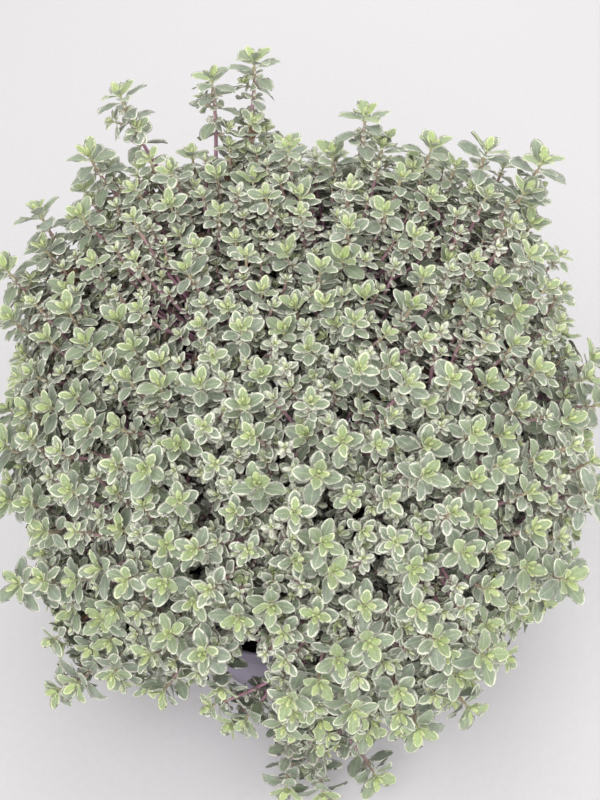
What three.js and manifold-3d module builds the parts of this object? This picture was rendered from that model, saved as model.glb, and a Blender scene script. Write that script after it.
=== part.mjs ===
// A variegated thyme growing in a round plastic nursery pot: a pot, its potting mix, and the
// leafy stems that rise from the mix, lean out over the rim and end in tufts of small leaves.
// Millimetres, +Z up, origin at the middle of the pot's underside.
import * as THREE from 'three';
import { mergeVertices } from 'three/addons/utils/BufferGeometryUtils.js';
import Module from 'manifold-3d';

// The pot: a 13 cm grower pot, moulded in one piece.
const POT_HEIGHT = 110;
const BASE_RADIUS = 48;
const NECK_RADIUS = 61; // outside of the wall where it meets the collar
const COLLAR_RADIUS = 65;
const COLLAR_HEIGHT = 15;
const COLLAR_DRAFT = 1.2; // the collar flares a little towards its top edge
const WALL = 1.6;
const FLOOR = 2.4;
const FLOOR_CHAMFER = 1.5; // inside, where the floor meets the wall
const FOOT_CHAMFER = 1.8;
const LIP_BEVEL = 0.8; // of the collar's top edge, outside and inside
const POT_SIDES = 32;
const DRAIN_COUNT = 6;
const DRAIN_RADIUS = 4.5;
const DRAIN_SIDES = 8;
const DRAIN_RING = 31;

// The potting mix: fills the pot to a finger's width below the rim, a little higher in the middle.
const MIX_TOP = 97;
const MIX_CROWN = 4;
const MIX_ROUGHNESS = 1.1;
const MIX_EDGE = 3; // the mix is rounded off at the bottom and sinks by this at the wall
const FIT_GAP = 0.4;

// The bush: a broad mound that leans back and a little to the right of the pot.
const FOCUS = new THREE.Vector3(10, 28, 112); // the point that the stems fan out from
const MOUND_RADIUS = 148;
const MOUND_RISE = 128; // from the focus to the top of the mound
const MOUND_SQUARENESS = 2.6; // exponent of the superellipse: 2 is an ellipsoid
const MOUND_BACK_LEAN = 0.16; // the back stands this much further out, the front this much less
const STEM_COUNT = 32;
const STEM_LOWEST_LEAN = 100; // degrees from upright
const TUFT_COUNT = 110;
const TUFT_LOWEST_LEAN = 113;
const TUFT_SPACING = 26; // least distance between two tufts
const REACH_SCATTER = 0.07; // a tuft stays up to this share short of the mound's face
const STEM_TURN = 0.3; // azimuth of the first stem and the first tuft
const TUFT_TURN = 0.8;
const SEED = 11;

// Tufts that stand clear of the mound: azimuth from +X and lean from upright in degrees,
// then reach from the focus in millimetres.
const OUTLYING_TUFTS = [
  [100, 35, 207], [110, 35, 202], [128, 39, 208], [139, 41, 191], [73, 33, 185], // tall, at the back
  [55, 35, 180], [45, 39, 188], [36, 43, 196], [152, 46, 185], [163, 50, 179],
  [-170, 63, 150], [-162, 69, 147], [-150, 78, 148], // left
  [32, 52, 159], [21, 57, 151], [11, 65, 158], [-3, 60, 156], [-24, 60, 157], // right
  [-37, 67, 150], [-55, 73, 139], [-57, 91, 139], [-67, 93, 135], // front right
  [-73, 122, 156], [-85, 123, 160], [-93, 123, 157], // trailing, at the front
  [-80, 78, 132], [-92, 76, 127], [-108, 88, 115], [-139, 100, 156], // front left
];

// The cushion of crowded older leaves inside each spray, which its tufts stand out of.
const CUSHION_POINTS = 24; // round its rim: leafy points and the notches between them
const CUSHION_TOP = 0.87; // heights as shares of the mound's reach
const CUSHION_RIM = 0.8;
const CUSHION_UNDERSIDE = 0.73;
const CUSHION_ROUGHNESS = 0.07; // the scatter of the rim and the humps, as such a share too
const CUSHION_NOTCH = 0.68; // a notch's spread as a share of a point's
const CUSHION_HUMP = 0.6; // the humps' spread as a share of a notch's
const CUSHION_LEAST_SPREAD = 4; // degrees
const CUSHION_MOST_SPREAD = 32;
const CUSHION_CLEARANCE = 1.5; // from the next spray's sector
const POT_CLEARANCE = 4;

// Stems: the main ones stand in holes in the mix, and shoots branch off in the cushions.
const STEM_RADIUS = 1.3; // of the four-sided stem, out to its corners
const STEM_BENDS = 3; // straight stretches between the mix and the cushion
const CROWN_RADIUS = 39; // the stems leave the mix inside this radius
const CROWN_OFFSET = new THREE.Vector2(2, 5);
const HOLE_RADIUS = 2.4;
const HOLE_SIDES = 6;
const HOLE_DEPTH = 20;
const FOOT_CLEARANCE = 0.6;
const STEM_RISE = 3; // straight up above the mix before the stem leans
const ELBOW_SHARE = 0.4; // how far along to its cushion a stem bends over
const ELBOW_LIFT = 8;
const RIM_PASS_HEIGHT = 124; // a stem with a cushion below this height, or not far above it,
const RIM_PASS_MARGIN = 20; // first rises to it, to clear the rim
const SHOOT_SPREAD = 0.5; // a shoot starts this far out to its tuft's direction
const STALK_RADIUS = 0.95; // of the stalk below a tuft

// Leaves: ovate, creased along the rib.
const LEAF_REACH = 12.2; // from the stem's axis to the leaf's tip
const LEAF_WIDTH = 6.6;
const LEAF_THICKNESS = 1; // at the rib
const SIZE_SCATTER = 0.2; // leaves are up to a tenth larger or smaller
const UPPER_PAIR_SHARE = 0.88;
const LOWER_PAIR_RISE = 14; // degrees
const UPPER_PAIR_RISE = 40;
const NODE_SPACING = 17; // from the tuft down to the older leaves on a long stalk, and on down
const BARE_STALK = 28; // the length of stalk next to the cushion that has no such leaves
const OLD_LEAF_REACH = 14;
const OLD_LEAF_DROOP = 10; // degrees
const AXIL_RADIUS = 3; // where two old leaves side by side part

const POT_COLOUR = 0x8f8798;
const MIX_COLOUR = 0x3a2c24;
const LEAF_COLOUR = 0x8ea384;

const GOLDEN_ANGLE = Math.PI * (3 - Math.sqrt(5));
const radians = THREE.MathUtils.degToRad;
const lerp = THREE.MathUtils.lerp;

const wasm = await Module();
wasm.setup();

// ---- solids ----

function solid(geometry) {
  const bare = new THREE.BufferGeometry();
  bare.setAttribute('position', geometry.getAttribute('position'));
  bare.setIndex(geometry.index);
  const merged = mergeVertices(bare, 1e-4);
  return new wasm.Manifold(new wasm.Mesh({
    numProp: 3,
    vertProperties: new Float32Array(merged.attributes.position.array),
    triVerts: new Uint32Array(merged.index.array),
  }));
}

function geometryOf(manifold) {
  const mesh = manifold.getMesh();
  const geometry = new THREE.BufferGeometry();
  geometry.setAttribute('position', new THREE.BufferAttribute(mesh.vertProperties, 3));
  geometry.setIndex(new THREE.BufferAttribute(mesh.triVerts, 1));
  geometry.computeVertexNormals();
  return geometry;
}

function namedMesh(name, manifold, colour, roughness) {
  const material = new THREE.MeshStandardMaterial({
    color: colour, roughness, metalness: 0, flatShading: true,
  });
  const mesh = new THREE.Mesh(geometryOf(manifold), material);
  mesh.name = name;
  return mesh;
}

// A profile of [radius, height] points turned about the upright axis.
function turned(profile, sides) {
  const points = profile.map(([radius, height]) => new THREE.Vector2(radius, height));
  return new THREE.LatheGeometry(points, sides).rotateX(Math.PI / 2);
}

function upright(radius, bottom, top, sides, x, y) {
  const height = top - bottom;
  return new THREE.CylinderGeometry(radius, radius, height, sides)
    .rotateX(Math.PI / 2)
    .translate(x, y, bottom + height / 2);
}

function closedGeometry(vertices, faces) {
  const geometry = new THREE.BufferGeometry();
  geometry.setAttribute('position', new THREE.Float32BufferAttribute(vertices, 3));
  geometry.setIndex(faces);
  return geometry;
}

// ---- seeded draws ----

function seededRandom(seed) {
  let state = seed >>> 0;
  return () => {
    state = (state + 0x6d2b79f5) >>> 0;
    let t = state;
    t = Math.imul(t ^ (t >>> 15), t | 1);
    t ^= t + Math.imul(t ^ (t >>> 7), t | 61);
    return ((t ^ (t >>> 14)) >>> 0) / 4294967296;
  };
}

// ---- the pot and its mix ----

function makePot() {
  const bodyTop = POT_HEIGHT - COLLAR_HEIGHT;
  const collarTopRadius = COLLAR_RADIUS + COLLAR_DRAFT;
  const profile = [
    [0, 0],
    [BASE_RADIUS - FOOT_CHAMFER, 0],
    [BASE_RADIUS, FOOT_CHAMFER],
    [NECK_RADIUS, bodyTop],
    [COLLAR_RADIUS, bodyTop],
    [collarTopRadius, POT_HEIGHT - LIP_BEVEL],
    [collarTopRadius - LIP_BEVEL / 2, POT_HEIGHT],
    [collarTopRadius - WALL, POT_HEIGHT],
    [COLLAR_RADIUS - WALL - LIP_BEVEL, bodyTop + WALL],
    [NECK_RADIUS - WALL, bodyTop],
    [BASE_RADIUS - WALL, FLOOR + FLOOR_CHAMFER],
    [BASE_RADIUS - WALL - FLOOR_CHAMFER, FLOOR],
    [0, FLOOR],
  ];
  let pot = solid(turned(profile, POT_SIDES));
  for (let k = 0; k < DRAIN_COUNT; k++) {
    const angle = 2 * Math.PI * k / DRAIN_COUNT;
    const x = DRAIN_RING * Math.cos(angle);
    const y = DRAIN_RING * Math.sin(angle);
    pot = pot.subtract(solid(upright(DRAIN_RADIUS, -1, FLOOR + 1, DRAIN_SIDES, x, y)));
  }
  return pot;
}

// The mix lies against the inside of the wall, less the gap.
function mixRadius(height) {
  const wallFoot = FLOOR + FLOOR_CHAMFER;
  const share = (height - wallFoot) / (POT_HEIGHT - COLLAR_HEIGHT - wallFoot);
  return lerp(BASE_RADIUS, NECK_RADIUS, Math.min(share, 1)) - WALL - FIT_GAP;
}

function makeMix(holes) {
  const bottom = FLOOR + FIT_GAP;
  const geometry = turned([
    [0, bottom],
    [mixRadius(bottom) - MIX_EDGE, bottom],
    [mixRadius(bottom + MIX_EDGE), bottom + MIX_EDGE],
    [mixRadius(MIX_TOP - MIX_EDGE), MIX_TOP - MIX_EDGE],
    [0.7 * NECK_RADIUS, MIX_TOP + 0.4 * MIX_CROWN],
    [0.3 * NECK_RADIUS, MIX_TOP + 0.8 * MIX_CROWN],
    [0, MIX_TOP + MIX_CROWN],
  ], POT_SIDES);
  const position = geometry.getAttribute('position');
  for (let i = 0; i < position.count; i++) {
    const [x, y, z] = [position.getX(i), position.getY(i), position.getZ(i)];
    if (z >= MIX_TOP) {
      position.setZ(i, z + MIX_ROUGHNESS * Math.sin(x / 5) * Math.cos(y / 6));
    }
  }
  let mix = solid(geometry);
  for (const { x, y } of holes) {
    const shaft = upright(HOLE_RADIUS, MIX_TOP - HOLE_DEPTH, POT_HEIGHT, HOLE_SIDES, x, y);
    mix = mix.subtract(solid(shaft));
  }
  return mix;
}

// ---- where the bush grows ----

function direction(azimuth, lean) {
  return new THREE.Vector3(
    Math.sin(lean) * Math.cos(azimuth), Math.sin(lean) * Math.sin(azimuth), Math.cos(lean),
  );
}

function moundReach(heading) {
  const n = MOUND_SQUARENESS;
  const across = Math.hypot(heading.x, heading.y) / MOUND_RADIUS;
  const along = Math.abs(heading.z) / MOUND_RISE;
  return (across ** n + along ** n) ** (-1 / n) * (1 + MOUND_BACK_LEAN * heading.y);
}

// Direction i of count, spread evenly from upright down to the lowest lean.
function evenDirection(i, count, lowestLean, turn) {
  const lowest = Math.cos(radians(lowestLean));
  return [i * GOLDEN_ANGLE + turn, Math.acos(1 - (i + 0.5) / count * (1 - lowest))];
}

function makeTuft(azimuth, lean, reach) {
  const heading = direction(azimuth, lean);
  return { heading, axis: direction(azimuth, lean / 2), place: fromFocus(heading, reach) };
}

function fromFocus(heading, reach) {
  return FOCUS.clone().addScaledVector(heading, reach);
}

function placeTufts() {
  const random = seededRandom(SEED);
  const tufts = OUTLYING_TUFTS.map(([azimuth, lean, reach]) =>
    makeTuft(radians(azimuth), radians(lean), reach));
  for (let i = 0; i < TUFT_COUNT; i++) {
    const [azimuth, lean] = evenDirection(i, TUFT_COUNT, TUFT_LOWEST_LEAN, TUFT_TURN);
    const reach = moundReach(direction(azimuth, lean)) * (1 - REACH_SCATTER * random());
    const tuft = makeTuft(azimuth, lean, reach);
    if (tufts.every((other) => other.place.distanceTo(tuft.place) > TUFT_SPACING)) {
      tufts.push(tuft);
    }
  }
  return tufts;
}

// Every spray has one stem, in a hole of its own in the mix, and the tufts nearest to its
// direction. The nearest of them all ends the stem.
function planSprays() {
  const sprays = [];
  for (let i = 0; i < STEM_COUNT; i++) {
    const [azimuth, lean] = evenDirection(i, STEM_COUNT, STEM_LOWEST_LEAN, STEM_TURN);
    const out = CROWN_RADIUS * Math.sqrt((i + 0.5) / STEM_COUNT);
    const hole = new THREE.Vector2(Math.cos(azimuth), Math.sin(azimuth))
      .multiplyScalar(out)
      .add(CROWN_OFFSET);
    sprays.push({ hole, heading: direction(azimuth, lean), tufts: [] });
  }
  for (const tuft of placeTufts()) {
    const nearness = sprays.map((spray) => spray.heading.dot(tuft.heading));
    sprays[nearness.indexOf(Math.max(...nearness))].tufts.push(tuft);
  }
  for (const spray of sprays) {
    spray.tufts.sort((a, b) => spray.heading.dot(b.heading) - spray.heading.dot(a.heading));
  }
  return sprays;
}

// A stem rises out of its hole, arches over the rim if it leans that far, and runs into its
// cushion, from where it goes on to its own tuft.
function stemLine(spray) {
  const foot = new THREE.Vector3(spray.hole.x, spray.hole.y, MIX_TOP - HOLE_DEPTH + FOOT_CLEARANCE);
  const collar = foot.clone().setZ(MIX_TOP + MIX_CROWN + STEM_RISE);
  const end = cushionPoint(spray.heading, CUSHION_RIM);
  const elbow = collar.clone().lerp(end, ELBOW_SHARE);
  elbow.z += ELBOW_LIFT;
  if (end.z < RIM_PASS_HEIGHT + RIM_PASS_MARGIN) {
    elbow.z = Math.max(elbow.z, RIM_PASS_HEIGHT);
  }
  const arch = new THREE.CatmullRomCurve3([collar, elbow, end], false, 'centripetal');
  return [foot, ...arch.getSpacedPoints(STEM_BENDS)];
}

// ---- leaves ----

// Two directions across a shoot, carried along it from one point to the next without a twist.
function frameAcross(forward, lastSide = new THREE.Vector3(1, 0.01, 0)) {
  const side = lastSide.clone().addScaledVector(forward, -forward.dot(lastSide)).normalize();
  return { forward, side, across: new THREE.Vector3().crossVectors(forward, side) };
}

// A point round a shoot: out from its line at an angle, aside from that, and up along it.
function pointAround(place, frame, angle, out, aside, lift) {
  const [c, s] = [Math.cos(angle), Math.sin(angle)];
  return place.clone()
    .addScaledVector(frame.side, out * c - aside * s)
    .addScaledVector(frame.across, out * s + aside * c)
    .addScaledVector(frame.forward, lift);
}

// One closed mesh that grows ring by ring along a shoot, always with four corners in a ring,
// and ends in a tuft. A leaf joins each side of the shoot, so the corners are its axils.
class ShootMesh {
  constructor(turn, size) {
    this.turn = turn;
    this.size = size;
    this.vertices = [];
    this.faces = [];
  }

  add(point) {
    return this.vertices.push(point.x, point.y, point.z) / 3 - 1;
  }

  ring(place, frame, radius, lift = 0) {
    return [0, 1, 2, 3].map((k) =>
      this.add(pointAround(place, frame, this.turn + (k - 0.5) * Math.PI / 2, radius, 0, lift)));
  }

  growTo(ring) {
    if (this.last) {
      this.last.forEach((corner, k) => {
        const next = (k + 1) % 4;
        this.faces.push(corner, this.last[next], ring[next], corner, ring[next], ring[k]);
      });
    } else {
      this.faces.push(ring[0], ring[3], ring[2], ring[0], ring[2], ring[1]);
    }
    this.last = ring;
  }

  // Four old leaves side by side, drooping a little, widest half-way.
  addOldLeaves(place, frame) {
    const reach = OLD_LEAF_REACH * this.size;
    const droop = -reach * Math.sin(radians(OLD_LEAF_DROOP));
    const half = 0.45 * LEAF_WIDTH * this.size;
    const below = this.ring(place, frame, STALK_RADIUS, -0.7 * LEAF_THICKNESS);
    const above = this.ring(place, frame, STALK_RADIUS, 0.7 * LEAF_THICKNESS);
    const axils = this.ring(place, frame, AXIL_RADIUS);
    this.growTo(below);
    for (let k = 0; k < 4; k++) {
      const next = (k + 1) % 4;
      const angle = this.turn + k * Math.PI / 2;
      const at = (along, aside) =>
        this.add(pointAround(place, frame, angle, along * reach, aside, along * droop));
      const [near, far] = [axils[k], axils[next]];
      const [right, tip, left] = [at(0.5, -half), at(1, 0), at(0.5, half)];
      this.faces.push(above[k], near, right, above[k], right, tip, above[k], tip, above[next]);
      this.faces.push(above[next], tip, left, above[next], left, far);
      this.faces.push(below[k], right, near, below[k], tip, right, below[k], below[next], tip);
      this.faces.push(below[next], left, tip, below[next], far, left);
    }
    this.last = above;
  }

  // Four young leaves in two crossed pairs, the upper pair smaller and steeper, each thickest
  // at its rib and sharp at its rim.
  addTuft(place, frame) {
    this.growTo(this.ring(place, frame, STALK_RADIUS));
    const crown = this.add(pointAround(place, frame, 0, 0, 0, LEAF_THICKNESS));
    for (let k = 0; k < 4; k++) {
      const upper = k % 2 === 1;
      const reach = LEAF_REACH * this.size * (upper ? UPPER_PAIR_SHARE : 1);
      const rise = radians(upper ? UPPER_PAIR_RISE : LOWER_PAIR_RISE);
      const angle = this.turn + k * Math.PI / 2;
      const at = (along, aside, cup) => {
        const out = along * reach * Math.cos(rise);
        const lift = along * reach * Math.sin(rise) + cup * LEAF_THICKNESS;
        return this.add(pointAround(place, frame, angle, out, aside * LEAF_WIDTH * this.size, lift));
      };
      const right = [at(0.4, -0.46, 0.7), at(0.76, -0.4, 0.5)];
      const left = [at(0.76, 0.4, 0.5), at(0.4, 0.46, 0.7)];
      const rim = [this.last[k], ...right, at(1, 0, 0.2), ...left, this.last[(k + 1) % 4]];
      const rib = at(0.52, 0, -0.6);
      for (let i = 1; i < rim.length; i++) {
        this.faces.push(crown, rim[i - 1], rim[i], rib, rim[i], rim[i - 1]);
      }
      this.faces.push(rib, rim[0], rim.at(-1));
    }
  }
}

// A four-sided stem through a list of points that goes on straight to its tuft. Where that
// last stretch is long, it has old leaves below the tuft.
function leafyShoot(points, radius, tuft, random) {
  const mesh = new ShootMesh(2 * Math.PI * random(), 1 + SIZE_SCATTER * (random() - 0.5));
  const line = [...points, tuft.place];
  let frame;
  points.forEach((point, i) => {
    const forward = line[i + 1].clone().sub(line[Math.max(i - 1, 0)]).normalize();
    frame = frameAcross(forward, frame?.side);
    mesh.growTo(mesh.ring(point, frame, lerp(radius, STALK_RADIUS, i / points.length)));
  });
  const last = tuft.place.clone().sub(points.at(-1));
  frame = frameAcross(last.clone().normalize(), frame.side);
  const nodes = Math.max(0, Math.floor((last.length() - BARE_STALK) / NODE_SPACING));
  for (let i = nodes; i > 0; i--) {
    mesh.addOldLeaves(tuft.place.clone().addScaledVector(frame.forward, -i * NODE_SPACING), frame);
  }
  mesh.addTuft(tuft.place, frameAcross(tuft.axis, frame.side));
  return closedGeometry(mesh.vertices, mesh.faces);
}

// ---- sprays ----

// Whether a point lies in the sector of the mound that is nearest to this spray's direction.
function inSector(spray, sprays, point) {
  const arm = point.clone().sub(FOCUS);
  return sprays.every((other) => {
    const across = spray.heading.clone().sub(other.heading).normalize();
    return other === spray || arm.dot(across) > CUSHION_CLEARANCE;
  });
}

function clearOfPot(point) {
  return point.z > POT_HEIGHT + POT_CLEARANCE
    || Math.hypot(point.x, point.y) > COLLAR_RADIUS + COLLAR_DRAFT + POT_CLEARANCE;
}

// A point of a cushion, at a share of the mound's reach, or further out where the pot is.
function cushionPoint(heading, share) {
  let reach = share * moundReach(heading);
  while (!clearOfPot(fromFocus(heading, reach))) {
    reach += 1;
  }
  return fromFocus(heading, reach);
}

// The cushion widens on every side until it meets the next spray's sector.
function makeCushion(spray, sprays, random) {
  const vertices = [];
  const faces = [];
  const { forward, side, across } = frameAcross(spray.heading);
  const headingAt = (spread, angle) => forward.clone().multiplyScalar(Math.cos(radians(spread)))
    .addScaledVector(side, Math.sin(radians(spread)) * Math.cos(angle))
    .addScaledVector(across, Math.sin(radians(spread)) * Math.sin(angle));
  const add = (spread, angle, share) => {
    const point = cushionPoint(headingAt(spread, angle), share);
    return vertices.push(point.x, point.y, point.z) / 3 - 1;
  };
  const ragged = (share) => share + CUSHION_ROUGHNESS * (random() - 0.5);
  const top = add(0, 0, CUSHION_TOP);
  const underside = add(0, 0, CUSHION_UNDERSIDE);
  const rim = [];
  const humps = [];
  for (let k = 0; k < CUSHION_POINTS; k++) {
    const angle = 2 * Math.PI * k / CUSHION_POINTS;
    let spread = CUSHION_LEAST_SPREAD;
    while (spread < CUSHION_MOST_SPREAD
      && inSector(spray, sprays, cushionPoint(headingAt(spread + 1, angle), CUSHION_RIM))) {
      spread += 1;
    }
    if (k % 2 === 1) {
      spread *= CUSHION_NOTCH;
      humps.push(add(CUSHION_HUMP * spread, angle, ragged(CUSHION_TOP)));
    }
    rim.push(add(spread, angle, ragged(CUSHION_RIM)));
  }
  humps.forEach((hump, k) => {
    const before = humps.at(k - 1);
    const [point, notch, next] = [rim[2 * k], rim[2 * k + 1], rim[(2 * k + 2) % CUSHION_POINTS]];
    faces.push(top, before, hump, before, point, hump, hump, point, notch, hump, notch, next);
    faces.push(underside, notch, point, underside, next, notch);
  });
  return closedGeometry(vertices, faces);
}

function makeSpray(spray, sprays, random) {
  let grown = solid(makeCushion(spray, sprays, random));
  spray.tufts.forEach((tuft, i) => {
    const below = spray.heading.clone().lerp(tuft.heading, SHOOT_SPREAD).normalize();
    const shoot = i === 0
      ? leafyShoot(stemLine(spray), STEM_RADIUS, tuft, random)
      : leafyShoot([cushionPoint(below, CUSHION_RIM)], STALK_RADIUS, tuft, random);
    grown = grown.add(solid(shoot));
  });
  return grown;
}

// ---- the object ----

const thyme = new THREE.Group();
thyme.name = 'potted_thyme';
const sprays = planSprays();
thyme.add(namedMesh('pot', makePot(), POT_COLOUR, 0.45));
thyme.add(namedMesh('potting_mix', makeMix(sprays.map((spray) => spray.hole)), MIX_COLOUR, 0.95));
const random = seededRandom(SEED + 1);
sprays.forEach((spray, i) => {
  const name = `leafy_stem_${String(i + 1).padStart(2, '0')}`;
  thyme.add(namedMesh(name, makeSpray(spray, sprays, random), LEAF_COLOUR, 0.6));
});

export default thyme;
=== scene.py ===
# Variegated thyme in a round plastic nursery pot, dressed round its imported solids.
# Metres in the scene, millimetres in the rules, +Z up, origin under the middle of the pot.
import math
from functools import partial

import bmesh
import bpy
import numpy as np
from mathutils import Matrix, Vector


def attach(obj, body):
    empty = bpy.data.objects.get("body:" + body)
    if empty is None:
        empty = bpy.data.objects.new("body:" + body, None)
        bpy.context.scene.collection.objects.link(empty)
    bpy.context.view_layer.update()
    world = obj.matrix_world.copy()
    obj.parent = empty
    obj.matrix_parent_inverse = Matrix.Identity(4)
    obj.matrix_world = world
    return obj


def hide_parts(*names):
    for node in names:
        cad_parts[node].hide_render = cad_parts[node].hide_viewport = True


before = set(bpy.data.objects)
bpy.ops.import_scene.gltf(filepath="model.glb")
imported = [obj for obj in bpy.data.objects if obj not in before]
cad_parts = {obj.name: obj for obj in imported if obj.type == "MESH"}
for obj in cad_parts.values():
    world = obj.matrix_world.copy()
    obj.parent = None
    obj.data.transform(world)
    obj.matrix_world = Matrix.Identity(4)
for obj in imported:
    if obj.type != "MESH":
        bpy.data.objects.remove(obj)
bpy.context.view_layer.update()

MM = 0.001


# ---- The pot ----
# A 13 cm grower pot, injection moulded in one piece from lilac-grey polypropylene. It has a
# tapering wall, a deep collar with a rounded lip, and six drain holes in its floor.
POT_HEIGHT = 110
BASE_RADIUS = 48
NECK_RADIUS = 61
COLLAR_RADIUS = 65
COLLAR_HEIGHT = 15
COLLAR_DRAFT = 1.2
WALL = 1.6
POT_FLOOR = 2.4
POT_SIDES = 128
DRAIN_COUNT = 6
DRAIN_RADIUS = 4.5
DRAIN_RING = 31
FOOT_WIDTH = 8  # of the ring that it stands on
FOOT_HEIGHT = 0.6
EDGE_ROUNDING = 1.5
DRILL_DEPTH = 12
POT_SHARP = 40  # degrees: edges below this are smooth
POT_LILAC_DARK = "#857c92"
POT_LILAC_PALE = "#968da2"
POT_SCUFF = "#a79fb0"
POT_GRIME = "#55483f"
COLOURS = {"data_type": "RGBA"}  # for a mix of colours


def linear(colour):
    """An sRGB hex colour as the linear numbers that a shader takes."""
    parts = [int(colour[i:i + 2], 16) / 255 for i in (1, 3, 5)]
    return [c / 12.92 if c <= 0.04045 else ((c + 0.055) / 1.055) ** 2.4 for c in parts] + [1.0]


def new_material(name):
    material = bpy.data.materials.new(name)
    material.use_nodes = True
    material.node_tree.nodes.clear()
    return material


def add(material, kind, sockets=(), output=None, stops=(), **settings):
    """Adds a shader node and gives its first output, or the named one. settings are its own
    properties. sockets are the inputs it uses, in order or by name: each is a value, or another
    node's output to be joined to. stops are the places and hex colours of a ramp."""
    node = material.node_tree.nodes.new(f"ShaderNode{kind}")
    for name, value in settings.items():
        setattr(node, name, value)
    if isinstance(sockets, dict):
        pairs = [(node.inputs[name], value) for name, value in sockets.items()]
    else:
        pairs = zip([socket for socket in node.inputs if socket.enabled], sockets)
    for socket, value in pairs:
        if isinstance(value, bpy.types.NodeSocket):
            material.node_tree.links.new(value, socket)
        else:
            socket.default_value = value
    if stops:
        elements = node.color_ramp.elements
        while len(elements) < len(stops):
            elements.new(0.5)
        for element, (place, colour) in zip(elements, stops):
            element.position = place
            element.color = linear(colour)
    outputs = [socket for socket in node.outputs if socket.enabled and output in (None, socket.name)]
    return outputs[0] if outputs else None


def finish_surface(material, bump, sockets):
    """Ends a material with its surface: bump is (height, strength, distance in mm)."""
    height, strength, distance = bump
    relief = add(material, "Bump", {"Height": height, "Strength": strength, "Distance": distance * MM})
    surface = add(material, "BsdfPrincipled", {**sockets, "Normal": relief})
    add(material, "OutputMaterial", [surface])


def ring(mesh, radius, height, sides):
    """Points round the upright axis, in millimetres, or the one point that closes a form."""
    if radius == 0:
        return [mesh.verts.new((0, 0, height * MM))]
    angles = [2 * math.pi * k / sides for k in range(sides)]
    return [mesh.verts.new((radius * math.cos(a) * MM, radius * math.sin(a) * MM, height * MM))
            for a in angles]


def bridge(mesh, rings, sides):
    """Faces from each ring to the next."""
    for low, high in zip(rings, rings[1:]):
        for k in range(sides):
            corners = [low[k % len(low)], low[(k + 1) % len(low)],
                       high[(k + 1) % len(high)], high[k % len(high)]]
            mesh.faces.new(list(dict.fromkeys(corners)))
    bmesh.ops.recalc_face_normals(mesh, faces=mesh.faces)


def as_object(name, mesh, material, smooth_below=None):
    data = mesh
    if isinstance(mesh, bmesh.types.BMesh):
        data = bpy.data.meshes.new(name)
        mesh.to_mesh(data)
        mesh.free()
    made = bpy.data.objects.new(name, data)
    bpy.context.scene.collection.objects.link(made)
    data.materials.append(material)
    if smooth_below:
        data.shade_smooth()
        data.set_sharp_from_angle(angle=math.radians(smooth_below))
    return made


def rounded(profile, radius, steps=3):
    """Rounds each inside point of a profile by up to the radius, in a few steps."""
    done = [profile[0]]
    for before, corner, after in zip(profile, profile[1:], profile[2:]):
        here = Vector(corner)
        arms = [Vector(before) - here, Vector(after) - here]
        cut = min(radius, 0.4 * arms[0].length, 0.4 * arms[1].length)
        start, end = (here + arm.normalized() * cut for arm in arms)
        for i in range(steps + 1):
            t = i / steps
            done.append(tuple(start * (1 - t) ** 2 + here * 2 * t * (1 - t) + end * t * t))
    return done + [profile[-1]]


def polypropylene():
    """Moulded polypropylene: a fine even grain, satin, with faint upright flow lines, pale
    scuffs, and a film of dried mix round the foot. The grain is drawn at half a millimetre,
    coarser than a mould leaves it, so that it shows."""
    material = new_material("moulded_polypropylene")
    node = partial(add, material)
    place = node("TexCoord", output="Object")
    height = node("SeparateXYZ", [place], output="Z")
    stretched = node("Mapping", {"Vector": place, "Scale": (1.0, 1.0, 0.06)})
    grain = node("TexNoise", {"Vector": place, "Scale": 1 / (0.5 * MM), "Detail": 3.0, "Roughness": 0.6})
    flow = node("TexNoise", {"Vector": stretched, "Scale": 1 / (7 * MM), "Detail": 4.0,
                             "Roughness": 0.55})
    scuffs = node("TexNoise", {"Vector": place, "Scale": 1 / (4 * MM), "Detail": 8.0,
                               "Roughness": 0.75, "Distortion": 1.6})
    blotches = node("TexNoise", {"Vector": place, "Scale": 1 / (26 * MM), "Detail": 5.0})
    base = node("Mix", [flow, linear(POT_LILAC_DARK), linear(POT_LILAC_PALE)], **COLOURS)
    worn = node("ValToRGB", [scuffs], stops=[(0.0, "#000000"), (0.6, "#000000"), (0.74, "#8c8c8c")])
    scuffed = node("Mix", [worn, base, linear(POT_SCUFF)], **COLOURS)
    foot = node("MapRange", [height, 0.0, 22 * MM, 0.6, 0.0])
    film = node("Math", [foot, blotches], operation="MULTIPLY")
    colour = node("Mix", [film, scuffed, linear(POT_GRIME)], **COLOURS)
    rough = node("MapRange", [scuffs, 0.0, 1.0, 0.36, 0.62])
    relief = node("Math", [grain, flow], operation="ADD")
    finish_surface(material, (relief, 0.35, 0.12), {
        "Base Color": colour, "Roughness": rough, "IOR": 1.49})
    return material


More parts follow.
